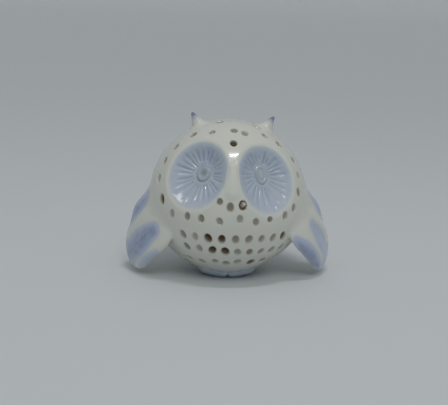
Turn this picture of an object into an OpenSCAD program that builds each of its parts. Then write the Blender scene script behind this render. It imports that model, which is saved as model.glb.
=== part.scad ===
// Pierced porcelain owl: a hollow slip-cast ball with two dished facial discs, a narrow beak
// ridge, two ear tufts, two caped wings, a short tail and two foot pads.
// Millimetres, +Z up. The owl faces -Y and stands on z = 0. Its base ring is centred on the origin.
// Directions on the ball are given as azimuth (0 = straight ahead, + towards +X) and latitude.
// Every "left" part is on the -X side.

/* [Body] */
// Radius of the ball
ball_r = 31; // [30.5:0.1:31.5]
// Height of the ball's centre above the base
centre_z = 29.5; // [29.3:0.1:29.7]
// Thickness of the cast wall
wall = 2.4; // [2.2:0.1:2.6]
// Radius of the ring that the owl stands on
base_r = 10.7; // [10.5:0.1:10.8]
// Slope of the tapered lower body above the horizontal, in degrees
taper_slope = 37; // [36:0.5:38]
// Diameter of the firing vent in the base
vent_d = 3; // [2.5:0.1:3.5]

/* [Facial discs] */
// Azimuth of the left disc's axis, to its own side
left_disc_az = 31.5; // [31:0.5:33]
// Azimuth of the right disc's axis, to its own side
right_disc_az = 28.5; // [28:0.5:30]
// Latitude of the left disc's axis
left_disc_lat = 27; // [26:0.5:28]
// Latitude of the right disc's axis
right_disc_lat = 24.5; // [24:0.5:26]
// Half-angle of the conical seat, seen from the ball's centre
disc_angle = 24; // [23:0.1:24.2]
// Depth of the dish below the ball's surface, at its middle
disc_depth = 5.4; // [5:0.1:5.8]
// Radial grooves in each disc, an even number
disc_grooves = 26; // [20:2:30]
// Width of one groove
groove_w = 0.55; // [0.4:0.05:0.7]
// Depth of one groove
groove_depth = 0.4; // [0.3:0.05:0.6]

/* [Pupils] */
// Radius of the round left pupil
left_pupil_r = 3.15; // [3:0.05:3.3]
// Half-width of the oval right pupil
right_pupil_r = 2.3; // [2.1:0.05:2.5]
// Half of the distance between the ends of the right pupil's straight sides
right_pupil_stretch = 0.9; // [0.7:0.05:1]
// Height of a pupil above its disc
pupil_h = 0.9; // [0.7:0.05:1.1]
// Distance of the left pupil above the middle of its dish
left_pupil_up = 0.9; // [0:0.1:1.5]
// Distance of the right pupil above the middle of its dish
right_pupil_up = 2.2; // [0:0.1:2.4]

/* [Beak ridge] */
// Height of the ridge above the ball
beak_h = 0.7; // [0.5:0.05:0.8]
// Azimuth of the ridge, midway between the discs
beak_az = -1.2; // [-1.4:0.1:-1]
// Latitude of the ridge's wide lower end
beak_lat = 15; // [14.5:0.5:15.5]
// Radius of the wide lower end
beak_low_r = 2.4; // [2.2:0.1:2.5]
// Radius of the narrow upper end
beak_top_r = 0.6; // [0.5:0.05:0.7]
// Distance between the centres of the two ends
beak_length = 9.5; // [9:0.5:10]

/* [Ear tufts] */
// Latitude of the left tuft, which stands straight out at its side
left_ear_lat = 66.5; // [64:0.5:68]
// Latitude of the right tuft
right_ear_lat = 63; // [61:0.5:68]
// Height of a tuft above the ball
ear_h = 5.8; // [5:0.1:6.5]
// Radius of a tuft where it leaves the ball
ear_r = 2.9; // [2.6:0.1:3.1]
// Radius of the rounded point
ear_tip_r = 0.6; // [0.4:0.05:0.8]

/* [Wings] */
// Azimuth that the face of a wing looks to
wing_az = 60; // [59:0.5:62]
// Latitude that the face of the left wing looks to
left_wing_lat = 13; // [12.5:0.1:13.5]
// Latitude that the face of the right wing looks to
right_wing_lat = 16; // [15.5:0.1:16.5]
// Turn of the wing's long axis towards the back, in degrees
wing_turn = 39; // [37:0.5:41]
// Distance of the wing's middle from the ball's centre
wing_reach = 28.5; // [28.2:0.1:28.6]
// Thickness in the middle of a wing
wing_t = 5; // [4.6:0.1:5.4]
// Radius of the wing's broad shoulder
wing_shoulder_r = 13.9; // [13.7:0.1:14.1]
// Radius of the wing's tip
wing_tip_r = 8.8; // [8.6:0.1:9]
// Distance between the centres of the left wing's shoulder and tip
left_wing_length = 12.4; // [12.2:0.1:12.6]
// Distance between the centres of the right wing's shoulder and tip
right_wing_length = 14.4; // [14.1:0.1:14.6]
// How far the tip sits in front of the shoulder's middle
wing_sweep = 3.1; // [2.8:0.1:3.4]
// Distance of the shoulder's centre below the point where the wing touches the ball
wing_drop = 15.8; // [15.6:0.1:16]

/* [Tail] */
// Latitude that the face of the tail looks to
tail_lat = 20; // [18:0.5:22]
// Distance of the tail's middle from the ball's centre
tail_reach = 25.6; // [25:0.1:26]
// Thickness in the middle of the tail
tail_t = 3.6; // [3.2:0.1:4]
// Radius of the tail where it leaves the body
tail_root_r = 5.5; // [5:0.1:6]
// Radius of the tail's broad end
tail_end_r = 7; // [6.5:0.1:7.5]

/* [Feet] */
// Radius of each foot pad
foot_r = 6.4; // [6.2:0.1:6.6]
// Distance of a pad's centre from the middle
foot_x = 5; // [4.8:0.1:5.2]
// Distance of a pad's centre in front of the base's centre
foot_y = 4.7; // [4.5:0.1:5]
// Height of a pad's domed top at its middle
foot_h = 4.6; // [4.3:0.1:4.8]

/* [Holes] */
// Radius of a hole at the surface
hole_r = 1.2; // [1.1:0.05:1.3]
// Radius of a hole at its far end
hole_end_r = 0.8; // [0.7:0.05:0.9]
// Depth of a hole that the glaze has closed
pit_depth = 1.3; // [1.1:0.05:1.5]
// How far a hole strays from its place by hand, in degrees
stray = 1.2; // [0:0.1:1.4]

/* [Hidden] */
$fn = 96;
// Facets of the large dish spheres, of the pupils that sit on them and of the foot pads
fine = 300;

white = "#efede2";
pale_blue = "#b9c5de";
blue = "#93a6d2";

// Lower body: a cone that widens upwards from the base ring until it meets the ball
spread = 1 / tan(taper_slope);
taper_a = spread * spread + 1;
taper_b = base_r * spread - centre_z;
taper_c = base_r * base_r + centre_z * centre_z - ball_r * ball_r;
join_z = (-taper_b + sqrt(taper_b * taper_b - taper_a * taper_c)) / taper_a;
join_lat = asin((join_z - centre_z) / ball_r);

// Dish of a facial disc: a sphere through the rim of its seat
rim_r = ball_r * sin(disc_angle);
dish_sag = disc_depth - ball_r * (1 - cos(disc_angle));
dish_r = (rim_r * rim_r + dish_sag * dish_sag) / (2 * dish_sag);
dish_z = ball_r - disc_depth + dish_r;

// Faces of the wings and the tail: the outer one bulges more, so the edges are thinner
leaf_face_r = 36;
leaf_back_r = 90;
// Feather valleys: a cylinder of this radius, sunk by this much where it is deepest
valley_r = 5;
valley_depth = 0.8;
// Each valley: [across, along, turn in degrees, extra sinking]
wing_valleys = [[1, -26, -3, 0], [-8.5, -24, -6, 0.9]];
tail_drop = 16;
tail_length = 10;
tail_valleys = [[-2.6, -24, 8, 0], [2.6, -24, -8, 0]];
// Distance of a wing's long axis in front of its touching point
wing_forward = 3.2;

// Holes: level rows as [latitude, number all the way round, azimuth of one of them]
rows = [[-43, 29, -4], [-28.5, 34, 4.6], [-17, 36, 1], [-6, 28, 66], [8, 26, 83], [20, 26, 90],
        [32, 24, 100], [44, 20, 99], [56, 16, 97], [69, 11, 98], [80, 3, 75]];
// Latitude from which the rows give way to the face
face_from_lat = -12;
// A wreath of holes about each disc: [first angle, step, number, first distance, its change]
left_wreath = [90, 25.3, 7, 36.5, -0.6];
right_wreath = [95, -23.3, 8, 38, -1.2];
// Front part of the row just below the discs: [azimuth of the first, step, number]
chin_row = [-33.5, 12.2, 6];
chin_lat = -4;
// Single holes by hand: two on the brow, three below the beak and one beside each tuft
by_hand = [[0, 52.7], [3, 67], [-10, 9], [-2.6, 5.3], [6, 6.7], [-70, 72], [88, 71.5]];
// Directions of the holes that stay open right through the wall; glaze fills the others
open_at = [[0, 52.7], [6, 6.7], [-19, -17], [-9, -17], [-17, -28.5], [-6, -28.5], [21, -43],
           [41, -17], [-56, 5], [150, 8], [-170, 32], [140, 44], [-130, 20], [170, -28.5],
           [-160, -6], [120, -28.5], [-100, -28.5], [95, 56], [-140, -43]];
open_within = 4.5;

function direction(a) = [sin(a[0]) * cos(a[1]), -cos(a[0]) * cos(a[1]), sin(a[1])];
function angles_of(v) = [atan2(v[0], -v[1]), asin(v[2] / norm(v))];
function apart(a, b) = acos(min(1, direction(a) * direction(b)));

// A hole's stray from its place, the same each time for the same hole
function strayed(a) = [a[0] + stray * sin(a[0] * 37 + a[1] * 101) / cos(a[1]),
                       a[1] + stray * sin(a[0] * 71 + a[1] * 29)];

// A point at an angle and a distance round the axis of a disc
function round_disc(axis, angle, distance) =
    let (out = direction(axis),
         side = [cos(axis[0]), sin(axis[0]), 0],
         up = cross(out, side))
    angles_of(cos(distance) * out + sin(distance) * (cos(angle) * side + sin(angle) * up));

left_axis = [-left_disc_az, left_disc_lat];
right_axis = [right_disc_az, right_disc_lat];
left_pupil_at = [1, left_pupil_up];
right_pupil_at = [-0.3, right_pupil_up];

function wreath(axis, w) =
    [for (i = [0:w[2] - 1]) round_disc(axis, w[0] + i * w[1], w[3] + i * w[4])];

// What keeps the level rows clear of the face, the wing roots, the tufts and the tail
face_clear = 47;
wing_clear = 8;
tuft_clear = 9;
tail_clear = 14;
wing_root_front = [-42, -18];
wing_root_back = [-98, 9];
function off_face(a) = a[1] < face_from_lat
    || (apart(a, left_axis) > face_clear && apart(a, right_axis) > face_clear
        && (abs(a[0]) > 60 || a[1] > 40));
function off_wing(a) =
    let (m = [-abs(a[0]), a[1]],
         root = cross(direction(wing_root_front), direction(wing_root_back)),
         side = asin(direction(m) * root / norm(root)))
    abs(side) > wing_clear || m[0] > wing_root_front[0] || m[0] < wing_root_back[0] - 2;
function off_tufts(a) = apart(a, [-90, left_ear_lat]) > tuft_clear
    && apart(a, [90, right_ear_lat]) > tuft_clear;
function off_tail(a) = apart(a, [180, -18]) > tail_clear;

function turned(a) = a > 180 ? a - 360 : a;
row_holes = [for (r = rows, i = [0:r[1] - 1])
             let (a = [turned(r[2] + i * 360 / r[1]), r[0]])
             if (off_face(a) && off_wing(a) && off_tufts(a) && off_tail(a)) a];
chin_holes = [for (i = [0:chin_row[2] - 1]) [chin_row[0] + i * chin_row[1], chin_lat]];
holes = concat(by_hand, [for (a = concat(chin_holes, wreath(left_axis, left_wreath),
                                       wreath(right_axis, right_wreath), row_holes))
                         strayed(a)]);
function is_open(a) = min([for (o = open_at) apart(a, o)]) < open_within;

// Distance from the ball's centre to the body's surface at a latitude
function surface_r(lat) = lat > join_lat ? ball_r
    : (base_r + centre_z * spread) / (cos(lat) - spread * sin(lat));

// Moves its children so that their +Z points along a direction from the ball's centre
module facing(a) {
    translate([0, 0, centre_z]) rotate([90 - a[1], 0, a[0]]) children();
}

// Two round ends joined by straight sides, the first at the origin, the second below it
module teardrop(r_top, r_low, length, sweep = 0) {
    hull() {
        circle(r = r_top, $fn = 64);
        translate([sweep, -length]) circle(r = r_low, $fn = 64);
    }
}

// Ball and lower cone, or the same drawn inwards by a wall
module body_form(inset = 0) {
    height = 2 * ball_r;
    low_r = base_r + inset * spread - inset / sin(taper_slope);
    intersection() {
        translate([0, 0, centre_z]) sphere(r = ball_r - inset);
        translate([0, 0, inset]) cylinder(h = height, r1 = low_r, r2 = low_r + height * spread);
    }
}

module seat(axis) {
    depth = 1.3 * ball_r;
    facing(axis) cylinder(h = depth, r1 = 0, r2 = depth * tan(disc_angle));
}

// One hole, tapered inwards, right through the wall or as a pit
module hole(a) {
    over = 0.6;
    depth = is_open(a) ? 1.6 * wall : pit_depth;
    mouth_r = hole_r + (hole_r - hole_end_r) * over / wall;
    facing(a) translate([0, 0, surface_r(a[1]) - depth])
        cylinder(h = depth + over, r1 = hole_end_r, r2 = mouth_r, $fn = 24);
}

module body_shell() {
    color(white) difference() {
        body_form();
        body_form(wall);
        seat(left_axis);
        seat(right_axis);
        translate([0, 0, -1]) cylinder(h = wall + 2, d = vent_d, $fn = 32);
        for (a = holes) hole(a);
    }
}

// Radial grooves in the dish, kept off the pupil and the rim
module disc_cuts(pupil_r, pupil_at) {
    inner = pupil_r + 0.6;
    intersection() {
        translate([pupil_at[0], pupil_at[1], 0])
            for (i = [0:disc_grooves - 1]) rotate((i + 0.5) * 360 / disc_grooves) intersection() {
                translate([0, 0, dish_z]) rotate([90, 0, 0])
                    cylinder(h = groove_w, r = dish_r + groove_depth, center = true, $fn = fine);
                translate([inner, -groove_w, dish_z - dish_r - 1])
                    cube([rim_r, 2 * groove_w, ball_r / 3]);
            }
        cylinder(h = 2 * ball_r, r = rim_r - 1);
    }
}

module eye_disc(axis, pupil_r, pupil_at) {
    color(pale_blue) difference() {
        intersection() {
            seat(axis);
            facing(axis) translate([0, 0, dish_z]) sphere(r = dish_r + wall, $fn = fine);
        }
        facing(axis) translate([0, 0, dish_z]) sphere(r = dish_r, $fn = fine);
        facing(axis) disc_cuts(pupil_r, pupil_at);
    }
}

// A low domed boss on the floor of the dish, with a dimple in its middle
module pupil(axis, r, stretch, pupil_at) {
    floor_z = ball_r - disc_depth;
    dome_r = 9;
    dimple_r = 1.4;
    dimple_depth = 0.35;
    color(blue) facing(axis) difference() {
        intersection() {
            translate([0, 0, dish_z]) sphere(r = dish_r, $fn = fine);
            translate([pupil_at[0], pupil_at[1], floor_z + pupil_h - dome_r])
                sphere(r = dome_r, $fn = fine);
            translate([pupil_at[0], pupil_at[1], floor_z - 1]) linear_extrude(3) union() {
                translate([0, stretch]) circle(r = r);
                translate([0, -stretch]) circle(r = r);
                square([2 * r, 2 * stretch], center = true);
            }
        }
        translate([pupil_at[0], pupil_at[1], floor_z + pupil_h + dimple_r - dimple_depth])
            sphere(r = dimple_r, $fn = 48);
    }
}

module left_eye_disc() { eye_disc(left_axis, left_pupil_r, left_pupil_at); }
module right_eye_disc() {
    eye_disc(right_axis, right_pupil_r + right_pupil_stretch, right_pupil_at);
}
module left_pupil() { pupil(left_axis, left_pupil_r, 0.01, left_pupil_at); }
module right_pupil() { pupil(right_axis, right_pupil_r, right_pupil_stretch, right_pupil_at); }

module beak_ridge() {
    color(white) facing([beak_az, beak_lat]) difference() {
        intersection() {
            sphere(r = ball_r + beak_h);
            linear_extrude(2 * ball_r) translate([0, beak_length])
                teardrop(beak_top_r, beak_low_r, beak_length);
        }
        sphere(r = ball_r);
    }
}

module ear_tuft(axis) {
    sink = 1;
    tip_z = ball_r + ear_h - ear_tip_r;
    flank = (ear_r - ear_tip_r) / (ear_h - ear_tip_r);
    color(blue) difference() {
        facing(axis) {
            translate([0, 0, ball_r - sink])
                cylinder(h = tip_z - ball_r + sink, r1 = ear_r + sink * flank, r2 = ear_tip_r, $fn = 48);
            translate([0, 0, tip_z]) sphere(r = ear_tip_r, $fn = 48);
        }
        translate([0, 0, centre_z]) sphere(r = ball_r);
    }
}

module left_ear_tuft() { ear_tuft([-90, left_ear_lat]); }
module right_ear_tuft() { ear_tuft([90, right_ear_lat]); }

// A curved leaf that hangs from where its plane touches the ball, with shallow feather valleys
module leaf(reach, thick, drop, root_r, end_r, length, sweep, valleys) {
    middle = [0, -drop - length / 2];
    difference() {
        intersection() {
            translate([0, -drop]) linear_extrude(2 * ball_r) teardrop(root_r, end_r, length, sweep);
            translate([middle[0], middle[1], reach + thick / 2 - leaf_face_r]) sphere(r = leaf_face_r);
        }
        translate([middle[0], middle[1], reach - thick / 2 - leaf_back_r]) sphere(r = leaf_back_r);
        for (v = valleys)
            translate([v[0], v[1], reach + thick / 2 + valley_r - valley_depth - v[3]])
                rotate([90, 0, v[2]]) cylinder(h = 2 * ball_r, r = valley_r, center = true);
    }
}

// The wing on the -X side
module wing(lat, length) {
    color(white) difference() {
        facing([-wing_az, lat]) rotate(-wing_turn) translate([wing_forward, 0])
            leaf(wing_reach, wing_t, wing_drop, wing_shoulder_r, wing_tip_r, length, wing_sweep,
                 wing_valleys);
        translate([0, 0, centre_z]) sphere(r = ball_r);
    }
}

module left_wing() { wing(left_wing_lat, left_wing_length); }
module right_wing() { mirror([1, 0, 0]) wing(right_wing_lat, right_wing_length); }

module tail() {
    color(white) difference() {
        facing([180, tail_lat])
            leaf(tail_reach, tail_t, tail_drop, tail_root_r, tail_end_r, tail_length, 0,
                 tail_valleys);
        translate([0, 0, centre_z]) sphere(r = ball_r);
    }
}

// A low pad with a domed top, under the taper of the body
module foot(side) {
    $fn = fine;
    dome_r = 8.2;
    color(blue) difference() {
        intersection() {
            translate([side * foot_x, -foot_y]) cylinder(h = foot_h, r = foot_r);
            translate([side * foot_x, -foot_y, foot_h - dome_r]) sphere(r = dome_r);
            translate([side * ball_r, 0, ball_r]) cube(2 * ball_r, center = true);
        }
        body_form();
    }
}

module left_foot() { foot(-1); }
module right_foot() { foot(1); }

body_shell();
left_eye_disc();
right_eye_disc();
left_pupil();
right_pupil();
beak_ridge();
left_ear_tuft();
right_ear_tuft();
left_wing();
right_wing();
tail();
left_foot();
right_foot();
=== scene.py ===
"""Looks of a small hollow porcelain owl, pierced with rows of holes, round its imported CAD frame.

Lengths are in millimetres until a mesh is made, and Blender's own are in metres. A direction from
the ball's centre is (azimuth, latitude) in degrees: azimuth 0 is straight ahead, to -Y, and grows
towards +X. Every "left" piece is on the -X side.
"""

import math

import bpy
import numpy as np
import openvdb
from mathutils import Matrix, Vector
from mathutils.geometry import delaunay_2d_cdt


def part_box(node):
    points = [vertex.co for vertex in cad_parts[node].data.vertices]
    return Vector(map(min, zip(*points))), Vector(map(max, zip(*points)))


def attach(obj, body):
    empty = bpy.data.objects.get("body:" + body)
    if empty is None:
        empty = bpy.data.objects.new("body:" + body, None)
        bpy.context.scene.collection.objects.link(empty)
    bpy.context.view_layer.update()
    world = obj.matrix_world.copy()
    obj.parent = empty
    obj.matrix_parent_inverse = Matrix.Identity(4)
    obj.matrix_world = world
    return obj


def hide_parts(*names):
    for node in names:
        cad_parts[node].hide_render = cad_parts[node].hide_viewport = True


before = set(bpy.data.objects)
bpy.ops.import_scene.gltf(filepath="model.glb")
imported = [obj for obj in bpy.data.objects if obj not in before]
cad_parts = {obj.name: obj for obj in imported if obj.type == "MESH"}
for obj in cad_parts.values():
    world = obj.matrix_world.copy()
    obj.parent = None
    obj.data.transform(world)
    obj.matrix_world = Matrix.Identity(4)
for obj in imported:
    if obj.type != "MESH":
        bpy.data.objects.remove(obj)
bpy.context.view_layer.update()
rng = np.random.default_rng(11)

MM = 0.001

# ---------------------------------------------------------------- sizes

body_low, body_high = (np.array(corner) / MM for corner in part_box("body_shell"))
BALL_R = round((body_high[0] - body_low[0]) / 2, 1)
CENTRE_Z = round(body_high[2], 1) - BALL_R
CENTRE = np.array([0.0, 0.0, CENTRE_Z])
WALL = 2.4
BASE_R = 10.7
TAPER_SLOPE = 37.0
TAPER_BLEND = 3.0
BASE_BLEND = 0.8
RECESS_DEPTH = 0.5
VENT_R = 1.5

# Facial discs: axis, half-angles across and up, and the dish that they are cut to
DISCS = {
    "left": {"axis": (-31.5, 27.0), "rim": (23.4, 26.0), "pupil_at": (1.0, 1.4),
             "pupil_r": (3.05, 3.3), "seed": 3, "grooves": 26},
    "right": {"axis": (28.5, 24.5), "rim": (23.0, 26.0), "pupil_at": (-0.3, 2.5),
              "pupil_r": (2.75, 3.9), "seed": 5, "grooves": 24},
}
SEAT_ANGLE = 24.0
DISC_DEPTH = 5.4
RIM_ROUND = 1.5
SEAT_POINTS = 360
# How far an added piece reaches below the body's surface, and how far above it a fillet counts
SUNK = 0.9
SKIN = 0.7

# ---------------------------------------------------------------- directions and blends


def direction(azimuth, latitude):
    az, lat = np.radians(azimuth), np.radians(latitude)
    return np.stack([np.sin(az) * np.cos(lat), -np.cos(az) * np.cos(lat), np.sin(lat) + 0 * az], -1)


def local_frame(azimuth, latitude):
    """Unit vectors to the side, up and out of the ball at a direction."""
    az = math.radians(azimuth)
    out = direction(azimuth, latitude)
    side = np.array([math.cos(az), math.sin(az), 0.0])
    return side, np.cross(out, side), out


def apart(a, b):
    """Angle in degrees between two directions."""
    return math.degrees(math.acos(max(-1.0, min(1.0, float(direction(*a) @ direction(*b))))))


def smooth_min(a, b, reach):
    h = np.clip(0.5 + 0.5 * (b - a) / reach, 0, 1)
    return b + (a - b) * h - reach * h * (1 - h)


def smooth_max(a, b, reach):
    return -smooth_min(-a, -b, reach)


def ramp(x, start, end):
    """0 at start, 1 at end, and smooth in between."""
    t = np.clip((x - start) / (end - start), 0, 1)
    return t * t * (3 - 2 * t)


# ---------------------------------------------------------------- the glazed surface

SPREAD = 1 / math.tan(math.radians(TAPER_SLOPE))
rim_r = BALL_R * math.sin(math.radians(SEAT_ANGLE))
dish_sag = DISC_DEPTH - BALL_R * (1 - math.cos(math.radians(SEAT_ANGLE)))
DISH_R = (rim_r ** 2 + dish_sag ** 2) / (2 * dish_sag)
DISH_Z = BALL_R - DISC_DEPTH + DISH_R
FAR = 1000.0
# Height of the slight waves that casting and fettling leave in the ball
UNEVEN = 0.07


def rim_angle(disc, phi):
    """Half-angle of a disc's oval outline in the direction phi round its axis."""
    across, up = disc["rim"]
    return across * up / np.hypot(up * np.cos(phi), across * np.sin(phi))


def on_disc(disc, t, phi):
    """Unit vectors at a share t of the way from a disc's axis to its outline."""
    side, up, out = local_frame(*disc["axis"])
    theta = np.radians(t * rim_angle(disc, phi))[..., None]
    round_axis = np.cos(phi)[..., None] * side + np.sin(phi)[..., None] * up
    return np.cos(theta) * out + np.sin(theta) * round_axis


def disc_place(disc, v):
    """Share of the way to the outline, and angle round the axis, of unit vectors v."""
    side, up, out = local_frame(*disc["axis"])
    x, y, z = v @ side, v @ up, v @ out
    phi = np.arctan2(y, x)
    return np.degrees(np.arctan2(np.hypot(x, y), z)) / rim_angle(disc, phi), phi


def surface(v):
    """Distance from the ball's centre to the glaze along unit vectors v, as if without holes."""
    sin_lat, cos_lat = v[..., 2], np.hypot(v[..., 0], v[..., 1])
    slant = cos_lat - SPREAD * sin_lat
    taper = np.where(slant > 0.05, (BASE_R + CENTRE_Z * SPREAD) / np.maximum(slant, 0.05), FAR)
    r = smooth_min(np.full(sin_lat.shape, BALL_R), taper, TAPER_BLEND)
    base = np.where(sin_lat < -0.2, CENTRE_Z / np.maximum(-sin_lat, 0.2), FAR)
    r = smooth_min(r, base, BASE_BLEND)
    ring_x = CENTRE_Z * cos_lat / np.maximum(-sin_lat, 0.01)
    r = r - np.where(sin_lat < -0.8, RECESS_DEPTH * ramp(BASE_R - ring_x, 2.8, 4.0), 0)
    r = r + UNEVEN * (np.sin(5.1 * v[..., 0] + 1.0) * np.sin(4.3 * v[..., 2] + 0.4)
                      + 0.6 * np.sin(9.0 * v[..., 0] + 6.0 * v[..., 1]) * np.sin(8.0 * v[..., 2]))
    for disc in DISCS.values():
        t, _ = disc_place(disc, v)
        angle = np.radians(SEAT_ANGLE * np.minimum(t, 1.3))
        dish = DISH_Z * np.cos(angle) - np.sqrt(DISH_R ** 2 - (DISH_Z * np.sin(angle)) ** 2)
        r = smooth_min(r, np.where(t < 1.3, dish, FAR), RIM_ROUND)
    return r


def surface_normals(v, radius_of):
    """Normals of the surface r = radius_of(v), found by small steps to both sides."""
    step = 0.002
    flat = np.where(np.abs(v[:, 2:3]) < 0.9, [[0.0, 0.0, 1.0]], [[1.0, 0.0, 0.0]])
    east = np.cross(flat, v)
    east /= np.linalg.norm(east, axis=1, keepdims=True)
    north = np.cross(v, east)

    def point(w):
        w = w / np.linalg.norm(w, axis=1, keepdims=True)
        return w * radius_of(w)[:, None]

    along_east = point(v + step * east) - point(v - step * east)
    along_north = point(v + step * north) - point(v - step * north)
    n = np.cross(along_east, along_north)
    return n / np.linalg.norm(n, axis=1, keepdims=True)


def body_field(p):
    """Rough signed distance to the body's outer surface, negative inside."""
    q = p - CENTRE
    r = np.linalg.norm(q, axis=-1)
    v = q / np.maximum(r, 1e-6)[..., None]
    return r - surface(v)


# ---------------------------------------------------------------- holes

ROWS = [(-43, 29, -4), (-28.5, 34, 4.6), (-17, 36, 1), (-6, 28, 66), (8, 26, 83), (20, 26, 90),
        (32, 24, 100), (44, 20, 99), (56, 16, 97), (69, 11, 98), (80, 3, 75)]
FACE_FROM_LAT = -12
# A wreath of holes about each disc: first angle, step, number, first distance and its change
WREATHS = {"left": (90, 25.3, 7, 36.5, -0.6), "right": (95, -23.3, 8, 38, -1.2)}
DISC_AXES = {name: disc["axis"] for name, disc in DISCS.items()}
CHIN_LAT = -4
CHIN_ROW = (-33.5, 12.2, 6)
BY_HAND = [(0, 52.7), (3, 67), (-10, 9), (-2.6, 5.3), (6, 6.7), (-70, 72), (88, 71.5)]
OPEN_AT = [(0, 52.7), (6, 6.7), (-19, -17), (-9, -17), (-17, -28.5), (-6, -28.5), (21, -43),
           (41, -17), (-56, 5), (150, 8), (-170, 32), (140, 44), (-130, 20), (170, -28.5),
           (-160, -6), (120, -28.5), (-100, -28.5), (95, 56), (-140, -43)]
OPEN_WITHIN = 4.5
# Degrees by which a hole strays from its even place
STRAY = 1.2
HOLE_R = 1.2
# Share by which an open hole is wider, and by which any hole's radius varies
OPEN_WIDER = 1.12
HOLE_VARIES = 0.09
PIT_DEPTH = 1.02
LIP = 0.55
# Smallest distance from a hole's edge to a disc's outline
DISC_GAP = 0.55
EAR_LATS = {"left": 66.5, "right": 63.0}


def strayed(a):
    """A hole's uneven place, the same each time for the same hole."""
    az, lat = a
    across = STRAY * math.sin(math.radians(az * 37 + lat * 101)) / math.cos(math.radians(lat))
    return az + across, lat + STRAY * math.sin(math.radians(az * 71 + lat * 29))


def off_face(a):
    """True below the face, or beside and above it where the wreaths of holes don't reach."""
    clear = min(apart(a, DISC_AXES["left"]), apart(a, DISC_AXES["right"])) > 47
    return a[1] < FACE_FROM_LAT or (clear and (abs(a[0]) > 60 or a[1] > 40))


def off_wing(a):
    """True where a hole clears the line along which the wings are joined on."""
    mirrored = (-abs(a[0]), a[1])
    root = np.cross(direction(-42, -18), direction(-98, 9))
    side = math.degrees(math.asin(float(direction(*mirrored) @ root) / np.linalg.norm(root)))
    return abs(side) > 8 or not -100 <= mirrored[0] <= -42


def off_trim(a):
    """True where a hole clears the ear tufts and the tail."""
    ears = min(apart(a, (-90, EAR_LATS["left"])), apart(a, (90, EAR_LATS["right"])))
    return ears > 9 and apart(a, (180, -18)) > 14


def hole_places():
    """(azimuth, latitude) of every hole, by the same rules as the CAD model."""
    single = [(CHIN_ROW[0] + i * CHIN_ROW[1], CHIN_LAT) for i in range(CHIN_ROW[2])]
    for name, (first, step, number, distance, change) in WREATHS.items():
        side, up, out = local_frame(*DISC_AXES[name])
        for i in range(number):
            angle, far = np.radians(first + i * step), np.radians(distance + i * change)
            v = np.cos(far) * out + np.sin(far) * (np.cos(angle) * side + np.sin(angle) * up)
            single.append((math.degrees(math.atan2(v[0], -v[1])), math.degrees(math.asin(v[2]))))
    for lat, number, first in ROWS:
        for i in range(number):
            az = (first + i * 360 / number + 180) % 360 - 180
            if off_face((az, lat)) and off_wing((az, lat)) and off_trim((az, lat)):
                single.append((az, lat))
    return BY_HAND + [strayed(a) for a in single]


# ---------------------------------------------------------------- meshes


def make_piece(name, points, faces, material, attributes, normals=None):
    """A mesh piece from points in millimetres, with smooth faces and point attributes."""
    mesh = bpy.data.meshes.new(name)
    mesh.from_pydata((np.asarray(points) * MM).tolist(), [], [list(map(int, f)) for f in faces])
    mesh.validate()
    mesh.update()
    for key, values in attributes.items():
        layer = mesh.attributes.new(key, "FLOAT", "POINT")
        layer.data.foreach_set("value", np.asarray(values, np.float32))
    mesh.polygons.foreach_set("use_smooth", np.ones(len(mesh.polygons), bool))
    if normals is not None:
        own = np.zeros(len(mesh.vertices) * 3, np.float32)
        mesh.vertices.foreach_get("normal", own)
        own = own.reshape(-1, 3)
        known = np.isfinite(normals[:, 0])
        own[known] = normals[known]
        mesh.normals_split_custom_set_from_vertices(own.tolist())
    piece = bpy.data.objects.new(name, mesh)
    bpy.context.scene.collection.objects.link(piece)
    mesh.materials.append(material)
    return piece


def stand_for(piece, node):
    """Lets a piece ride the owl's one body in place of a CAD node."""
    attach(piece, "root")
    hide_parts(node)


def bridge(outer, inner):
    """Quads between two closed loops of the same length."""
    n = len(outer)
    return [(outer[i], outer[(i + 1) % n], inner[(i + 1) % n], inner[i]) for i in range(n)]


def ring_loops(number, n):
    """Point numbers of rings of n points that follow a single first point."""
    return [list(range(1 + k * n, 1 + (k + 1) * n)) for k in range(number)]


def cap_and_bridges(loops):
    """Faces from point 0 to the first ring, and from each ring to the next."""
    n = len(loops[0])
    faces = [(0, loops[0][i], loops[0][(i + 1) % n]) for i in range(n)]
    for a, b in zip(loops, loops[1:]):
        faces += [f[::-1] for f in bridge(a, b)]
    return faces


def closed_faces(loops, last):
    """The same, closed by a fan from the last ring to the point last."""
    n, end = len(loops[-1]), loops[-1]
    return cap_and_bridges(loops) + [(last, end[(i + 1) % n], end[i]) for i in range(n)]


def sphere_triangles(v):
    """Delaunay triangles of unit vectors, by stereographic projection from the south pole."""
    flat = v[:, :2] / (1 + v[:, 2:3])
    made = delaunay_2d_cdt([Vector(p) for p in flat.tolist()], [], [], 0, 1e-9)
    first = [ids[0] for ids in made[3]]
    triangles = np.array([[first[i] for i in f] for f in made[2]])
    a, b, c = (flat[triangles[:, i]] for i in range(3))
    area = (b[:, 0] - a[:, 0]) * (c[:, 1] - a[:, 1]) - (b[:, 1] - a[:, 1]) * (c[:, 0] - a[:, 0])
    triangles[area < 0] = triangles[area < 0][:, ::-1]
    return triangles


def fibonacci(count):
    """Unit vectors spread evenly over the sphere."""
    i = np.arange(count) + 0.5
    z = 1 - 2 * i / count
    angle = math.pi * (1 + 5 ** 0.5) * i
    r = np.sqrt(1 - z * z)
    return np.stack([r * np.cos(angle), r * np.sin(angle), z], -1)


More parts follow.
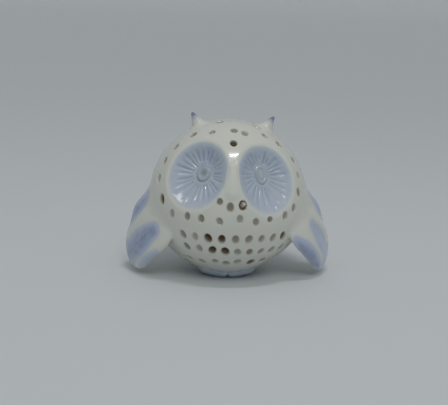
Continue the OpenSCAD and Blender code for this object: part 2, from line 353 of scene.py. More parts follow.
class Cloud:
    """Points of one shell: unit vectors with a depth below the surface and their paint."""

    def __init__(self):
        self.v, self.depth, self.pit, self.open, self.free = [], [], [], [], []
        self.count = 0

    def add(self, v, depth=0.0, pit=0.0, opened=0.0, free=False):
        n = len(v)
        self.v.append(v)
        for store, value in ((self.depth, depth), (self.pit, pit), (self.open, opened),
                             (self.free, free)):
            store.append(np.full(n, float(value)))
        self.count += n
        return list(range(self.count - n, self.count))

    def arrays(self):
        return (np.concatenate(x) for x in (self.v, self.depth, self.pit, self.open, self.free))


# Points round a hole
RING = 24
# Latitudes of the rings of points that follow the edge of the base and its recess
BASE_LATS = (-66.5, -68, -69.1, -70.0, -70.9, -72.2, -73.8, -75.4, -77.0, -78.5, -80)
# A hole's rings. On the lip: share of the way out from the hole's edge, and depth. In the hole:
# radius as a share of the hole's, depth, and darkness, which is glaze pooling in a pit and painted shade.
LIP_RINGS = [(1.0, 0.0), (0.55, 0.04), (0.2, 0.14)]
PIT_RINGS = [(0.96, 0.34, 0.4), (0.87, 0.58, 0.7), (0.74, 0.78, 0.9), (0.54, 0.93, 1.0),
             (0.28, 1.0, 1.0)]
OPEN_RINGS = [(0.98, 0.42, 0.3), (0.92, 0.9, 0.6), (0.87, 1.45, 0.85), (0.83, 2.0, 1.0)]
# The vent's rings: radius and depth
VENT_RINGS = [(2.4, 0.0), (1.9, 0.05), (1.65, 0.15), (1.5, 0.4), (1.45, 1.2)]
# Rings of points just outside a disc: share of the way to its outline, and share of its points
SEAT_RINGS = [(1.02, 1.0), (1.045, 0.75), (1.075, 0.6), (1.115, 0.5)]


def hole_height(hole, r):
    """Half the height of a hole's ring whose half-width is r: the tool is held level, so holes are tall."""
    return r + (hole["tall"] - 1) * min(hole["r"], r)


def hole_ring(hole, r):
    """Unit vectors round a hole, on a ring whose half-width is r."""
    side, up, out = local_frame(*hole["at"])
    angle = 2 * math.pi * np.arange(RING) / RING
    x = r * np.cos(angle)
    y = hole_height(hole, r) * np.sin(angle)
    c, s = math.cos(hole["turn"]), math.sin(hole["turn"])
    x, y = c * x - s * y, s * x + c * y
    v = out + (x[:, None] * side + y[:, None] * up) / hole["far"]
    return v / np.linalg.norm(v, axis=1, keepdims=True)


def off_hole(hole, v, gap):
    """True for the unit vectors that lie outside a hole's outermost ring by more than gap."""
    side, up, out = local_frame(*hole["at"])
    depth = v @ out
    x, y = (hole["far"] * (v @ w) / np.maximum(depth, 0.1) for w in (side, up))
    c, s = math.cos(hole["turn"]), math.sin(hole["turn"])
    x, y = c * x + s * y, c * y - s * x
    r = hole["reach"]
    return (depth < 0.1) | (np.hypot(x / (r + gap), y / (hole_height(hole, r) + gap)) > 1)


def rim_gap(disc, way):
    """Millimetres from a direction to a disc's outline, measured away from the disc."""
    t, phi = disc_place(disc, way)
    return float((t - 1) * rim_angle(disc, phi)) * math.pi / 180 * BALL_R


def make_holes():
    """Every hole's direction, size and paint, with the holes near a disc moved clear of it."""
    places = hole_places()
    ways = np.array([direction(*a) for a in places])
    cosines = np.clip(ways @ ways.T, -1, 1) - 2 * np.eye(len(ways))
    nearest = np.arccos(np.max(cosines, axis=1)) * BALL_R
    holes = []
    for place, way, near in zip(places, ways, nearest):
        opened = min(apart(place, o) for o in OPEN_AT) < OPEN_WITHIN
        r = HOLE_R * (OPEN_WIDER if opened else 1.0) * (1 + HOLE_VARIES * rng.uniform(-1, 1))
        tall = 1.42 - 0.24 * float(ramp(place[1], 30, 60)) + 0.08 * rng.uniform(-1, 1)
        reach = min(r + LIP, near / 2 - 0.1)
        for disc in DISCS.values():
            gap = rim_gap(disc, way)
            if gap < r + DISC_GAP:
                axis = local_frame(*disc["axis"])[2]
                way = way - axis * (r + DISC_GAP - gap) / BALL_R
                way = way / np.linalg.norm(way)
            gap = rim_gap(disc, way)
            reach = min(reach, max(r + 0.2, gap - 0.25))
            tall = min(tall, max(1.0, (gap - 0.3) / r))
        at = (math.degrees(math.atan2(way[0], -way[1])), math.degrees(math.asin(way[2])))
        # shade sets how dark a pit's glaze pooling and painted shade are; brown, how much of the inside's
        # painted warm shade it takes
        holes.append({"at": at, "way": way, "open": opened, "r": r, "tall": tall,
                      "turn": 0.35 * rng.uniform(-1, 1), "far": float(surface(way[None])[0]),
                      "shade": 1.0 if place in BY_HAND else rng.uniform(0.6, 1.0),
                      "deep": rng.uniform(0.7, 1.1), "brown": rng.uniform(0.1, 0.75) ** 2,
                      "reach": reach})
    return holes


def clear_of_discs(v, fixed):
    """Moves points that strayed inside a disc's outline to just outside it, but not the fixed ones."""
    loose = np.ones(len(v), bool)
    loose[fixed] = False
    for disc in DISCS.values():
        t, phi = disc_place(disc, v)
        inside = loose & (t < 1.01)
        v[inside] = on_disc(disc, np.full(inside.sum(), 1.012), phi[inside])
    return v


def add_holes(outer, inner, holes):
    """Adds the rings of every hole, and returns the pairs of rings that the open ones join."""
    tunnels = []
    for hole in holes:
        lip = hole["reach"] - hole["r"]
        deep = 1.0 if hole["open"] else hole["deep"]
        brown = 1.0 if hole["open"] else hole["brown"]
        for share, depth in LIP_RINGS:
            # Painted shade, with some glaze pooling, darkens the lip towards the hole's edge
            rim_shade_and_pooling = 0.4 * (1 - share) ** 2
            outer.add(hole_ring(hole, hole["r"] + share * lip), depth, rim_shade_and_pooling, rim_shade_and_pooling * brown)
        for share, depth, dark in OPEN_RINGS if hole["open"] else PIT_RINGS:
            ring = outer.add(hole_ring(hole, share * hole["r"]), depth * deep, dark * hole["shade"],
                             dark * brown, free=True)
        if hole["open"]:
            tunnels.append((ring, inner.add(hole_ring(hole, 0.95 * hole["r"]), WALL)))
        else:
            outer.add(hole["way"][None], PIT_DEPTH * deep, hole["shade"], brown, True)
    return tunnels


def add_seats(outer, inner):
    """Adds the outlines of the discs with rings of points round them, and returns their pairs."""
    tunnels = []
    phi = 2 * math.pi * np.arange(SEAT_POINTS) / SEAT_POINTS
    for disc in DISCS.values():
        seat = outer.add(on_disc(disc, np.ones(SEAT_POINTS), phi))
        for t, share in SEAT_RINGS:
            n = int(SEAT_POINTS * share)
            outer.add(on_disc(disc, np.full(n, t), 2 * math.pi * (np.arange(n) + 0.5) / n))
        tunnels.append((seat, inner.add(on_disc(disc, np.ones(SEAT_POINTS), phi), WALL)))
    return tunnels


def add_vent(outer, inner):
    """Adds the rings of the vent, and returns the pair that its tunnel joins."""
    vent = {"at": (0.0, -90.0), "r": VENT_R, "tall": 1.0, "turn": 0.0, "far": CENTRE_Z}
    for r, depth in VENT_RINGS:
        mouth = outer.add(hole_ring(vent, r), depth, free=depth > 0.3)
    return mouth, inner.add(hole_ring(vent, 1.6), WALL)


def add_filling(outer, inner, holes):
    """Adds the points between the holes, the discs and the vent."""
    for lat in BASE_LATS:
        outer.add(direction(np.arange(0, 360, 3.0) + lat, np.full(120, lat)))
    for cloud, count, gap in ((outer, 9000, 0.5), (inner, 1500, 1.2)):
        v = fibonacci(count)
        clear = np.all([off_hole(hole, v, gap) for hole in holes], axis=0)
        for disc in DISCS.values():
            clear &= disc_place(disc, v)[0] > (1.15 if cloud is outer else 1.08)
        clear &= v[:, 2] > -math.cos((VENT_RINGS[0][0] + gap) / CENTRE_Z)
        lat = np.degrees(np.arcsin(v[:, 2]))
        if cloud is outer:
            clear &= (lat > BASE_LATS[0] + 1) | (lat < BASE_LATS[-1] - 1)
        cloud.add(v[clear])


def shell_faces(v, loops):
    """Triangles between unit vectors, without those that would close one of the loops."""
    loop_of = np.full(len(v), -1)
    for number, loop in enumerate(loops):
        loop_of[loop] = number
    triangles = sphere_triangles(v)
    a, b, c = (loop_of[triangles[:, i]] for i in range(3))
    return triangles[~((a >= 0) & (a == b) & (b == c))]


def body_piece(holes, material):
    outer, inner = Cloud(), Cloud()
    tunnels = add_holes(outer, inner, holes) + add_seats(outer, inner)
    dropped = [mouth for mouth, _ in tunnels]
    vent_mouth, vent_end = add_vent(outer, inner)
    add_filling(outer, inner, holes)

    v, depth, pit, opened, free = outer.arrays()
    v = clear_of_discs(v, [i for seat in dropped for i in seat])
    w, *_ = inner.arrays()
    points = np.concatenate([v * (surface(v) - depth)[:, None],
                             w * (surface(w) - WALL)[:, None]]) + CENTRE
    n_outer = len(v)
    inside = shell_faces(w, [end for _, end in tunnels])[:, ::-1] + n_outer
    faces = shell_faces(v, dropped).tolist() + inside.tolist()
    for mouth, end in tunnels:
        faces += bridge([i + n_outer for i in end], mouth)
    faces += bridge(vent_mouth, [i + n_outer for i in vent_end])

    blue = body_blue(points[:n_outer], v)
    pad = np.zeros(len(w))
    normals = np.full((len(points), 3), np.nan)
    on_surface = np.where((free == 0) & (depth == 0))[0]
    normals[on_surface] = surface_normals(v[on_surface], surface)
    # The inner shell takes the full painted warm shade of the hollow inside
    attributes = {"blue": np.concatenate([blue, pad]), "pit": np.concatenate([pit, pad]),
                  "open": np.concatenate([opened, pad + 1])}
    return make_piece("body_shell_glazed", points, faces, material, attributes, normals)


def disc_blue(t):
    return 1 - ramp(t, 0.86, 1.08)


def foot_blue(p):
    """Blue band at the foot of the owl's front, with a soft upper edge."""
    x, y, z = p[:, 0], p[:, 1], p[:, 2]
    front = 1 - ramp(y, -3.0, 1.5)
    top = 3.9 - 0.5 * np.cos(x * 0.55) + 0.3 * np.sin(x * 1.7)
    return front * (1 - ramp(z, top - 1.7, top + 1.2)) * (1 - ramp(np.abs(x), 12, 14.5))


def body_blue(p, v):
    blue = 0.62 * foot_blue(p)
    for disc in DISCS.values():
        blue = np.maximum(blue, 0.5 * disc_blue(disc_place(disc, v)[0]))
    return blue


# ---------------------------------------------------------------- facial discs and pupils


def disc_plane(disc, v):
    """Millimetres across and up from a disc's pupil, for unit vectors v."""
    side, up, _ = local_frame(*disc["axis"])
    r = surface(v)
    return r * (v @ side) - disc["pupil_at"][0], r * (v @ up) - disc["pupil_at"][1]


def groove_pattern(disc, v):
    """Depth of the hand-cut radial grooves, and how close each point is to a groove's line."""
    draw = np.random.default_rng(disc["seed"])
    x, y = disc_plane(disc, v)
    far = np.hypot(x / disc["pupil_r"][0], y / disc["pupil_r"][1])
    t, _ = disc_place(disc, v)
    angle, mm = np.arctan2(y, x), np.hypot(x, y)
    depth, line = np.zeros(len(v)), np.zeros(len(v))
    for i in range(disc["grooves"]):
        middle = 2 * math.pi * (i + 0.5 + 0.22 * draw.uniform(-1, 1)) / disc["grooves"]
        bend = 0.06 * draw.uniform(-1, 1)
        amount, start, stop = draw.uniform(0.5, 1), draw.uniform(1.12, 1.5), draw.uniform(0.82, 0.95)
        off = (angle - middle - bend * (t - 0.5) + math.pi) % (2 * math.pi) - math.pi
        across = off * mm
        width = 0.24 + 0.022 * mm
        along = ramp(far, start - 0.12, start + 0.3) * (1 - ramp(t, stop - 0.14, stop + 0.03))
        line = np.maximum(line, amount * along * np.exp(-(across / width) ** 2))
        depth = np.maximum(depth, 0.36 * amount * along * np.exp(-(across / (width * 1.3)) ** 2))
    return depth, line


def disc_piece(name, disc, material):
    steps = np.concatenate([np.linspace(0.02, 0.9, 50), np.linspace(0.915, 1.0, 8)])
    phi = 2 * math.pi * np.arange(SEAT_POINTS) / SEAT_POINTS
    top = np.concatenate([on_disc(disc, np.zeros(1), np.zeros(1))]
                         + [on_disc(disc, np.full(SEAT_POINTS, t), phi) for t in steps])
    under_steps = (1.0, 0.7, 0.35)
    under = np.concatenate([on_disc(disc, np.full(SEAT_POINTS, t), phi) for t in under_steps]
                           + [on_disc(disc, np.zeros(1), np.zeros(1))])
    depth, line = groove_pattern(disc, top)

    def top_radius(v):
        return surface(v) - groove_pattern(disc, v)[0]

    points = np.concatenate([top * (surface(top) - depth)[:, None],
                             under * (surface(under) - WALL)[:, None]]) + CENTRE
    loops = ring_loops(len(steps) + len(under_steps), SEAT_POINTS)
    faces = closed_faces(loops, len(points) - 1)
    normals = np.full((len(points), 3), np.nan)
    normals[:len(top)] = surface_normals(top, top_radius)
    t, phi_of = disc_place(disc, top)
    wash = 0.54 + 0.13 * np.sin(phi_of) * ramp(t, 0.1, 0.8)
    blue = disc_blue(t) * (wash + 0.2 * line)
    pad = np.zeros(len(under))
    # The disc's underside, inside the ball, takes the full painted warm shade of the hollow inside
    attributes = {"blue": np.concatenate([blue, pad]), "pit": np.zeros(len(points)),
                  "open": np.concatenate([0 * blue, pad + 1])}
    return make_piece(name, points, faces, material, attributes, normals)


def pupil_piece(name, disc, profile, material):
    """A low boss on the floor of a disc; profile gives its height and blue from the middle out."""
    shares = np.concatenate([np.linspace(0.04, 0.8, 20), np.linspace(0.83, 1.0, 10)])
    n = 96
    angle = 2 * math.pi * np.arange(n) / n
    side, up, out = local_frame(*disc["axis"])
    floor = BALL_R - DISC_DEPTH

    def ways(share):
        x = disc["pupil_at"][0] + share * disc["pupil_r"][0] * np.cos(angle)
        y = disc["pupil_at"][1] + share * disc["pupil_r"][1] * np.sin(angle)
        v = out * floor + x[:, None] * side + y[:, None] * up
        return v / np.linalg.norm(v, axis=1, keepdims=True)

    rings = [ways(0)[:1]] + [ways(s) for s in shares]
    heights = [profile(0.0)] + [profile(s) for s in shares]
    points, blue = [], []
    for v, (height, paint) in zip(rings, heights):
        points.append(v * (surface(v) + height)[:, None])
        blue.append(np.full(len(v), paint))
    for share in (1.0, 0.5):
        v = ways(share)
        points.append(v * (surface(v) - SUNK)[:, None])
        blue.append(np.full(n, 0.5))
    v = ways(0)[:1]
    points.append(v * (surface(v) - SUNK)[:, None])
    blue.append(np.full(1, 0.5))
    loops = ring_loops(len(shares) + 2, n)
    faces = closed_faces(loops, 1 + n * len(loops))
    points = np.concatenate(points) + CENTRE
    blue = np.concatenate(blue)
    zero = np.zeros(len(points))
    return make_piece(name, points, faces, material, {"blue": blue, "pit": zero, "open": zero})


def left_profile(s):
    """A low boss with a soft edge, which sinks gently to a dimple in its middle."""
    height = 0.66 * (1 - ramp(s, 0.7, 1.0)) - 0.34 * (1 - ramp(s, 0.05, 0.62)) - 0.2 * ramp(s, 0.97, 1.0)
    blue = 0.62 + 0.12 * ramp(s, 0.7, 1.0) + 0.3 * (1 - ramp(s, 0.1, 0.6))
    return float(height), float(blue)


def right_profile(s):
    """A soft oval ring round a paler oval middle."""
    ring = ramp(s, 0.3, 0.52) * (1 - ramp(s, 0.52, 0.72))
    height = 0.62 * (1 - ramp(s, 0.74, 1.0)) - 0.2 * ring - 0.2 * ramp(s, 0.97, 1.0)
    blue = 0.5 + 0.15 * ring + 0.2 * ramp(s, 0.74, 1.0)
    return float(height), float(blue)


# ---------------------------------------------------------------- pieces luted on with a fillet


def mesh_field(field, low, high, voxel):
    """Points and faces of a field's zero surface inside a box."""
    counts = np.ceil((np.asarray(high) - low) / voxel).astype(int) + 1
    axes = [low[i] + voxel * np.arange(counts[i]) for i in range(3)]
    values = np.empty(counts, np.float32)
    for i, x in enumerate(axes[0]):
        y, z = np.meshgrid(axes[1], axes[2], indexing="ij")
        values[i] = field(np.stack([np.full(y.shape, x), y, z], -1))
    values[[0, -1]] = values[:, [0, -1]] = values[:, :, [0, -1]] = voxel
    grid = openvdb.FloatGrid(2 * voxel)
    grid.copyFromArray(values)
    points, triangles, quads = grid.convertToPolygons(0.0, 0.0)
    points = np.asarray(points, float) * voxel + low
    faces = [list(f) for f in triangles] + [list(f) for f in quads]
    a, b, c = (points[[f[i] for f in faces]] for i in range(3))
    if np.einsum("ij,ij->", a - CENTRE, np.cross(b - a, c - a)) < 0:
        faces = [f[::-1] for f in faces]
    return points, faces


def luted(part, fillet, holes):
    """A part's field with a fillet down to the body, cut off a little below the body's surface.

    Holes that lie beside the part are cut through its fillet as well.
    """
    beside = []
    for hole in holes:
        at = (hole["way"] * hole["far"] + CENTRE)[None]
        size = hole["r"] * hole["tall"]
        if size < part(at)[0] < fillet(at)[0] + 2 * size:
            beside.append(hole)

    def field(p):
        body, own, reach = body_field(p), part(p), fillet(p)
        joined = smooth_min(own, body, reach) + 0.04
        joined = np.maximum(np.maximum(joined, -(body + SUNK)), own - 0.98 * reach)
        for hole in beside:
            side, up, out = local_frame(*hole["at"])
            x, y, z = (p - CENTRE) @ side, (p - CENTRE) @ up, (p - CENTRE) @ out
            c, s = math.cos(hole["turn"]), math.sin(hole["turn"])
            across = (c * x + s * y) / hole["r"]
            along = (c * y - s * x) / hole_height(hole, hole["r"])
            cut = hole["r"] * (1.08 - np.hypot(across, along))
            joined = np.where((z > 0) & (body < SKIN), np.maximum(joined, cut), joined)
        return np.maximum(joined, -p[..., 2])
    return field


def luted_normals(points, part, fillet):
    """Normals of the part with its fillet, where the points lie on that surface."""
    def joined(p):
        return smooth_min(part(p), body_field(p), fillet(p))
    step = 0.05
    grads = [joined(points + step * axis) - joined(points - step * axis) for axis in np.eye(3)]
    n = np.stack(grads, -1)
    n /= np.maximum(np.linalg.norm(n, axis=1, keepdims=True), 1e-9)
    n[np.abs(joined(points) + 0.04) > 0.08] = np.nan
    return n


def luted_piece(name, part, fillet, low, high, voxel, material, paint):
    points, faces = mesh_field(luted(part, fillet, kept), np.asarray(low, float), high, voxel)
    normals = luted_normals(points, part, fillet)
    zero = np.zeros(len(points))
    attributes = {"blue": paint(points), "pit": zero, "open": zero}
    return make_piece(name, points, faces, material, attributes, normals)


def round_cone(p, a, b, ra, rb):
    """Rough signed distance to a cone with round ends."""
    a, b = np.asarray(a, float), np.asarray(b, float)
    along = np.clip((p - a) @ (b - a) / ((b - a) @ (b - a)), 0, 1)
    return np.linalg.norm(p - a - along[..., None] * (b - a), axis=-1) - (ra + (rb - ra) * along)


def leaf_place(p, leaf):
    """Across, along and outward coordinates of points in a leaf's own plane."""
    side, up, out = local_frame(*leaf["faces"])
    q = (p * np.array([leaf["mirror"], 1, 1])) - CENTRE
    x, y = q @ side, q @ up
    t = math.radians(leaf["turn"])
    return (x * math.cos(t) - y * math.sin(t) - leaf["forward"],
            x * math.sin(t) + y * math.cos(t), q @ out)


def leaf_field(leaf):
    """A curved leaf with a rounded edge and soft feather valleys."""
    def field(p):
        a, b, c = leaf_place(p, leaf)
        span = np.hypot(leaf["sweep"], leaf["length"])
        ux, uy = leaf["sweep"] / span, -leaf["length"] / span
        x, y = a, b + leaf["drop"]
        along = x * ux + y * uy
        across = np.abs(x * uy - y * ux)
        lean = (leaf["root_r"] - leaf["end_r"]) / span
        level = math.sqrt(1 - lean * lean)
        flank = along * level - across * lean
        side = across * level + along * lean - leaf["root_r"]
        start = np.hypot(across, along) - leaf["root_r"]
        end = np.hypot(across, along - span) - leaf["end_r"]
        outline = np.where(flank < 0, start, np.where(flank > level * span, end, side))
        middle = -leaf["drop"] - leaf["length"] / 2
        thick = leaf["thick"]
        face = np.sqrt(a ** 2 + (b - middle) ** 2 + (c - leaf["reach"] - thick / 2 + 36) ** 2) - 36
        back = 90 - np.sqrt(a ** 2 + (b - middle) ** 2 + (c - leaf["reach"] + thick / 2 + 90) ** 2)
        d = smooth_max(smooth_max(face, back, 1.2), outline, 2.0)
        for va, vb, turn, sink, r in leaf["valleys"]:
            t = math.radians(turn)
            off = (a - va) * math.cos(t) + (b - vb) * math.sin(t)
            deep = c - (leaf["reach"] + thick / 2 + r - sink)
            d = smooth_max(d, r - np.hypot(off, deep), 1.6)
        return d
    return field


def stroke(a, b, start, end, wide, soft):
    """Brush stroke in a leaf's plane: 1 along its line, and fading over soft at its edges."""
    start, end = np.array(start, float), np.array(end, float)
    run = end - start
    along = ((a - start[0]) * run[0] + (b - start[1]) * run[1]) / (run @ run)
    t = np.clip(along, 0, 1)
    far = np.hypot(a - start[0] - t * run[0], b - start[1] - t * run[1])
    width = wide * (0.35 + 0.65 * np.sin(math.pi * np.clip(0.15 + 0.75 * t, 0, 1)))
    return 1 - ramp(far, width - soft, width + soft), np.exp(-(far / 0.55) ** 2) * (t > 0) * (t < 1)


def leaf_paint(leaf, strokes):
    def paint(p):
        a, b, c = leaf_place(p, leaf)
        blue = np.zeros(len(p))
        outside = ramp(c, leaf["reach"] - 3.5, leaf["reach"] - 1.0)
        for start, end, wide, amount, line in strokes:
            wash, middle = stroke(a, b, start, end, wide, 2.2)
            blue = np.maximum(blue, amount * wash + line * middle * wash)
        return blue * outside
    return paint


# ---------------------------------------------------------------- glazes


WHITE = (0.71, 0.72, 0.65)
WARM_WHITE = (0.63, 0.62, 0.54)
PALE = (0.47, 0.54, 0.64)
DEEP = (0.25, 0.31, 0.43)
# Pits: glaze pooling thicker, and painted shade deeper in the recess
POOLED_GLAZE_AND_SHADE = (0.20, 0.175, 0.105)
# Painted shade of the hollow inside, with a painted warm glow of light through the thin wall
INSIDE_SHADE_GLOW = (0.23, 0.15, 0.075)


def new_node(tree, kind, **settings):
    node = tree.nodes.new(kind)
    for key, value in settings.items():
        setattr(node, key, value)
    return node


def glaze(name, white, pale, deep, roughness=0.16, mottle=420.0):
    """Clear-glazed porcelain: white body, underglaze blue where "blue" says, glaze pooling with painted
    shade in pits, and painted warm shade of the inside where "open" says.
    """
    material = bpy.data.materials.new(name)
    material.use_nodes = True
    tree = material.node_tree
    shader = tree.nodes["Principled BSDF"]
    link = tree.links.new
    place = new_node(tree, "ShaderNodeTexCoord").outputs["Object"]

    def noise(scale, detail=3.0, rough=0.55):
        node = new_node(tree, "ShaderNodeTexNoise")
        node.inputs["Scale"].default_value = scale
        node.inputs["Detail"].default_value = detail
        node.inputs["Roughness"].default_value = rough
        link(place, node.inputs["Vector"])
        return node.outputs["Fac"]

    def math_node(operation, first, second):
        node = new_node(tree, "ShaderNodeMath", operation=operation)
        for socket, value in zip(node.inputs, (first, second)):
            if isinstance(value, (int, float)):
                socket.default_value = value
            else:
                link(value, socket)
        return node.outputs[0]

    def attribute(key):
        return new_node(tree, "ShaderNodeAttribute", attribute_name=key).outputs["Fac"]

    def mix(factor, first, second):
        node = new_node(tree, "ShaderNodeMix", data_type="RGBA")
        link(factor, node.inputs[0])
        for socket, value in ((node.inputs[6], first), (node.inputs[7], second)):
            if isinstance(value, tuple):
                socket.default_value = (*value, 1)
            else:
                link(value, socket)
        return node.outputs[2]

    cloudy = noise(mottle)
    streaky = noise(1400.0, 2.0)
    # The brushed wash is patchy, so noise moves its strength up and down
    patch = math_node("ADD", math_node("MULTIPLY", cloudy, 0.55), math_node("MULTIPLY", streaky, 0.18))
    strength = math_node("MULTIPLY", attribute("blue"), math_node("ADD", patch, 0.66))
    wash = new_node(tree, "ShaderNodeValToRGB")
    wash.color_ramp.interpolation = "EASE"
    stops = wash.color_ramp.elements
    stops[0].position, stops[0].color = 0.0, (*white, 1)
    stops[1].position, stops[1].color = 1.0, (*deep, 1)
    middle = stops.new(0.5)
    middle.color = (*pale, 1)
    link(strength, wash.inputs[0])
    # Faint warm drifts in the white body
    drift = new_node(tree, "ShaderNodeMapRange")
    drift.inputs["From Min"].default_value, drift.inputs["From Max"].default_value = 0.3, 0.7
    drift.inputs["To Min"].default_value, drift.inputs["To Max"].default_value = 0.0, 0.16
    link(noise(60.0, 2.0), drift.inputs["Value"])
    body = mix(drift.outputs[0], wash.outputs[0], WARM_WHITE)
    # Pits darken with glaze pooling and painted shade, as far as "pit" says
    pooled_and_shaded = mix(math_node("MULTIPLY", attribute("pit"), 0.8), body, POOLED_GLAZE_AND_SHADE)
    # Painted shade of the hollow inside, with a painted warm glow of light through the wall, as far as
    # "open" says
    colour = mix(math_node("MULTIPLY", attribute("open"), 0.85), pooled_and_shaded, INSIDE_SHADE_GLOW)
    link(colour, shader.inputs["Base Color"])
    rough = new_node(tree, "ShaderNodeMapRange")
    rough.inputs["To Min"].default_value = roughness - 0.05
    rough.inputs["To Max"].default_value = roughness + 0.07
    link(noise(260.0), rough.inputs["Value"])
    link(rough.outputs[0], shader.inputs["Roughness"])
    bump = new_node(tree, "ShaderNodeBump")
    bump.inputs["Strength"].default_value = 0.25
    bump.inputs["Distance"].default_value = 0.00012
    link(math_node("ADD", noise(330.0, 2.0), math_node("MULTIPLY", noise(1700.0, 1.0), 0.15)),
         bump.inputs["Height"])
    link(bump.outputs[0], shader.inputs["Normal"])
    shader.inputs["IOR"].default_value = 1.5
    shader.inputs["Coat Weight"].default_value = 0.6
    shader.inputs["Coat Roughness"].default_value = 0.04
    return material


white_glaze = glaze("white_glaze", WHITE, PALE, DEEP)
disc_glaze = glaze("blue_disc_glaze", WHITE, PALE, DEEP, roughness=0.14)
pupil_glaze = glaze("blue_pupil_glaze", WHITE, (0.45, 0.51, 0.57), (0.27, 0.32, 0.38))
tip_glaze = glaze("blue_tip_glaze", WHITE, (0.48, 0.51, 0.62), (0.19, 0.21, 0.32))
wing_glaze = glaze("wing_glaze", WHITE, (0.44, 0.51, 0.67), (0.22, 0.28, 0.46), mottle=300.0)
foot_glaze = glaze("foot_glaze", WHITE, (0.48, 0.55, 0.66), (0.33, 0.40, 0.53))

# ---------------------------------------------------------------- the owl

holes = make_holes()

LEAF = {"faces": (-60, 13.0), "turn": 39.0, "forward": 3.2, "reach": 28.5, "thick": 5.0,
        "drop": 15.8, "root_r": 13.9, "end_r": 8.8, "length": 12.4, "sweep": 3.1, "mirror": 1,
        "valleys": [(1, -26, -3, 0.8, 5.0), (-8.5, -24, -6, 1.7, 5.0)]}
# Each stroke of blue: start, end, half-width, strength of the wash and of the line down its middle
WINGS = {
    "left": (LEAF, [((6.0, -15), (2.5, -36), 5.0, 0.78, 0.14),
                    ((-9.5, -12), (-7.5, -31), 3.6, 0.62, 0.1),
                    ((13.5, -19), (11.0, -30), 2.0, 0.42, 0.0),
                    ((5.5, -34.0), (-2.0, -33.5), 5.2, 0.6, 0.0)]),
    "right": ({**LEAF, "faces": (-60, 16.0), "length": 14.4, "mirror": -1},
              [((2.5, -18), (3.5, -34), 4.2, 0.52, 0.12),
               ((-11.5, -13), (-8.5, -31), 3.0, 0.42, 0.1),
               ((13.6, -13), (11.0, -34), 3.0, 0.8, 0.0),
               ((6.5, -35), (-1.0, -35.5), 5.0, 0.5, 0.0)]),
}


def wing_fillet(p):
    """A broad fillet at the shoulder, and a tight one where the wing's lower edge leaves the body."""
    return 0.8 + 2.2 * ramp(p[..., 2], 18, 31)


def even_fillet(reach):
    return lambda p: np.full(p.shape[:-1], reach)


def near_wing(hole):
    """True where a hole would lie under a wing's fillet."""
    at = (hole["way"] * hole["far"] + CENTRE)[None]
    reach = 0.45 * wing_fillet(at)[0] + hole["r"] * hole["tall"]
    return any(leaf_field(leaf)(at)[0] < reach for leaf, _ in WINGS.values())


kept = [h for h in holes if not near_wing(h)]
print("holes", len(holes), "kept", len(kept), "open", sum(h["open"] for h in kept))
stand_for(body_piece(kept, white_glaze), "body_shell")

for key, disc in DISCS.items():
    stand_for(disc_piece(f"{key}_eye_disc_glazed", disc, disc_glaze), f"{key}_eye_disc")
    profile = left_profile if key == "left" else right_profile
    stand_for(pupil_piece(f"{key}_pupil_glazed", disc, profile, pupil_glaze), f"{key}_pupil")


def box_round(node, margin):
    """Corners of a node's box in millimetres, with a margin all round."""
    low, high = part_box(node)
    return np.array(low) / MM - margin, np.array(high) / MM + margin


def add_luted(node, part, fillet, voxel, material, paint, margin=4.0):
    low, high = box_round(node, margin)
    piece = luted_piece(f"{node}_glazed", part, fillet, low, high, voxel, material, paint)
    stand_for(piece, node)


for key, (leaf, strokes) in WINGS.items():
    add_luted(f"{key}_wing", leaf_field(leaf), wing_fillet, 0.32, wing_glaze,
              leaf_paint(leaf, strokes))


def ear_field(azimuth, latitude):
    side, up, out = local_frame(azimuth, latitude)
    root = CENTRE + out * (BALL_R - 3.0) + up * 0.5
    tip = CENTRE + out * (BALL_R + 4.95) - up * 0.3
    return lambda p: round_cone(p, root, tip, 4.3, 0.7)


for key, azimuth in (("left", -90), ("right", 90)):
    latitude = EAR_LATS[key]
    out = direction(azimuth, latitude)

    def ear_paint(p, out=out):
        return ramp((p - CENTRE) @ out, BALL_R + 1.8, BALL_R + 5.2)

    add_luted(f"{key}_ear_tuft", ear_field(azimuth, latitude), even_fillet(1.8), 0.18, tip_glaze,
              ear_paint, margin=3.0)


def beak_field(p):
    low = CENTRE + direction(-1.2, 15) * (BALL_R - 1.9)
    high = CENTRE + direction(-1.2, 32.5) * (BALL_R - 0.5)
    return round_cone(p, low, high, 2.5, 0.9)


add_luted("beak_ridge", beak_field, even_fillet(1.6), 0.2, white_glaze,
          lambda p: np.zeros(len(p)), margin=3.0)

TAIL = {"faces": (180, 20), "turn": 0.0, "forward": 0.0, "reach": 25.6, "thick": 3.6, "drop": 16,
        "root_r": 5.5, "end_r": 7.0, "length": 10, "sweep": 0.0, "mirror": 1,
        "valleys": [(-2.6, -24, 8, 0.8, 5.0), (2.6, -24, -8, 0.8, 5.0)]}
add_luted("tail", leaf_field(TAIL), even_fillet(2.6), 0.25, wing_glaze,
          leaf_paint(TAIL, [((-2.4, -20), (-3.4, -31), 1.5, 0.5, 0.2),
                            ((2.4, -20), (3.4, -31), 1.5, 0.5, 0.2)]))


def foot_field(side):
    """The foot of the taper swells forward in two soft pads, with a notch between them."""
    def field(p):
        x, y, z = side * p[..., 0], p[..., 1], p[..., 2]
        pad = (1 - ramp(np.abs(x - 5.6), 4.0, 7.8)) * (1 - ramp(y, -5, -1)) * (1 - ramp(z, 1.4, 5.2))
        swollen = body_field(p) + 0.6 - 1.6 * pad
        return np.maximum(swollen, -x)
    return field


for key, side in (("left", -1), ("right", 1)):
    add_luted(f"{key}_foot", foot_field(side), even_fillet(0.8), 0.2, foot_glaze,
              lambda p: 0.62 * foot_blue(p), margin=2.5)

# ---------------------------------------------------------------- floor, light and camera


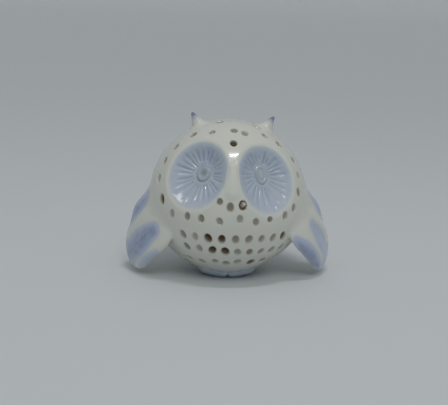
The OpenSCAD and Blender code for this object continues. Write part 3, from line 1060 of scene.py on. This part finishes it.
def backdrop():
    """A wide round floor that curves up into a wall."""
    flat, curve, top = 4.5, 1.5, 3.5
    turns = np.radians(np.linspace(0, 90, 13))
    profile = [(r, 0.0) for r in (0.15, 0.6, 1.5, 3.0)]
    profile += [(flat + curve * math.sin(t), curve * (1 - math.cos(t))) for t in turns]
    profile.append((flat + curve, top))
    n = 96
    angle = 2 * math.pi * np.arange(n) / n
    points = [(0.0, 0.0, 0.0)]
    points += [(r * math.cos(a), r * math.sin(a), z) for r, z in profile for a in angle]
    mesh = bpy.data.meshes.new("backdrop")
    mesh.from_pydata(points, [], cap_and_bridges(ring_loops(len(profile), n)))
    mesh.polygons.foreach_set("use_smooth", np.ones(len(mesh.polygons), bool))
    floor = bpy.data.objects.new("backdrop", mesh)
    bpy.context.scene.collection.objects.link(floor)
    material = bpy.data.materials.new("backdrop")
    material.use_nodes = True
    shader = material.node_tree.nodes["Principled BSDF"]
    shader.inputs["Base Color"].default_value = (0.69, 0.72, 0.735, 1)
    shader.inputs["Roughness"].default_value = 0.75
    mesh.materials.append(material)


backdrop()

YAW, ELEVATION, ROLL = (math.radians(x) for x in (4.5, 12.0, 1.9))
DISTANCE = 380 * MM
LENS = 77.5
# The camera's shifts, as shares of the picture's width
SHIFT = (-3.8 / 448, -5.0 / 448)
right = Vector((math.cos(YAW), -math.sin(YAW), 0))
ahead = Vector((math.sin(YAW) * math.cos(ELEVATION), math.cos(YAW) * math.cos(ELEVATION),
                -math.sin(ELEVATION)))
above = right.cross(ahead)
camera = bpy.data.objects.new("camera", bpy.data.cameras.new("camera"))
bpy.context.scene.collection.objects.link(camera)
bpy.context.scene.camera = camera
side_way = math.cos(ROLL) * right + math.sin(ROLL) * above
up_way = -math.sin(ROLL) * right + math.cos(ROLL) * above
placed = Matrix((side_way, up_way, -ahead)).transposed().to_4x4()
placed.translation = Vector(CENTRE * MM) - ahead * DISTANCE
camera.matrix_world = placed
camera.data.sensor_width = 36
camera.data.lens = LENS
camera.data.shift_x, camera.data.shift_y = SHIFT
camera.data.clip_start, camera.data.clip_end = 0.01, 50


def lamp(name, kind, energy, colour, aim_from, **settings):
    """A lamp at a place in metres, aimed at the ball's centre."""
    data = bpy.data.lights.new(name, kind)
    data.energy = energy
    data.color = colour
    for key, value in settings.items():
        setattr(data, key, value)
    lamp_object = bpy.data.objects.new(name, data)
    bpy.context.scene.collection.objects.link(lamp_object)
    at = Vector(aim_from)
    lamp_object.location = at
    lamp_object.rotation_euler = (Vector(CENTRE * MM) - at).to_track_quat("-Z", "Y").to_euler()
    return lamp_object


NEUTRAL = (1.0, 1.0, 1.0)
key_lamp = lamp("key", "SUN", 0.58, (1.0, 0.99, 0.97), (0.12, -1.0, 1.1), angle=math.radians(26))
key_lamp.visible_glossy = False
lamp("window", "AREA", 0.45, NEUTRAL, (0.03, -0.16, 0.55), shape="RECTANGLE", size=0.15, size_y=0.028)
# Two side windows, which only glint along the grooves of the discs
for name, azimuth, latitude in (("left_window", -46, 60), ("right_window", 32, 57)):
    side_lamp = lamp(name, "AREA", 0.1, NEUTRAL, tuple(0.58 * direction(azimuth, latitude)),
                     shape="RECTANGLE", size=0.14, size_y=0.05)
    side_lamp.visible_diffuse = False
# Daylight that comes through the thin wall and warms what shows in the open holes
inside_lamp = lamp("inside", "POINT", 0.0025, (1.0, 0.9, 0.8), (0, 0.001, 0.029), shadow_soft_size=0.012)
inside_lamp.visible_camera = False

world = bpy.data.worlds.new("studio")
bpy.context.scene.world = world
world.use_nodes = True
sky = world.node_tree.nodes["Background"]
sky.inputs["Color"].default_value = (0.93, 0.97, 1.0, 1)
sky.inputs["Strength"].default_value = 0.36
bpy.context.scene.view_settings.view_transform = "Standard"
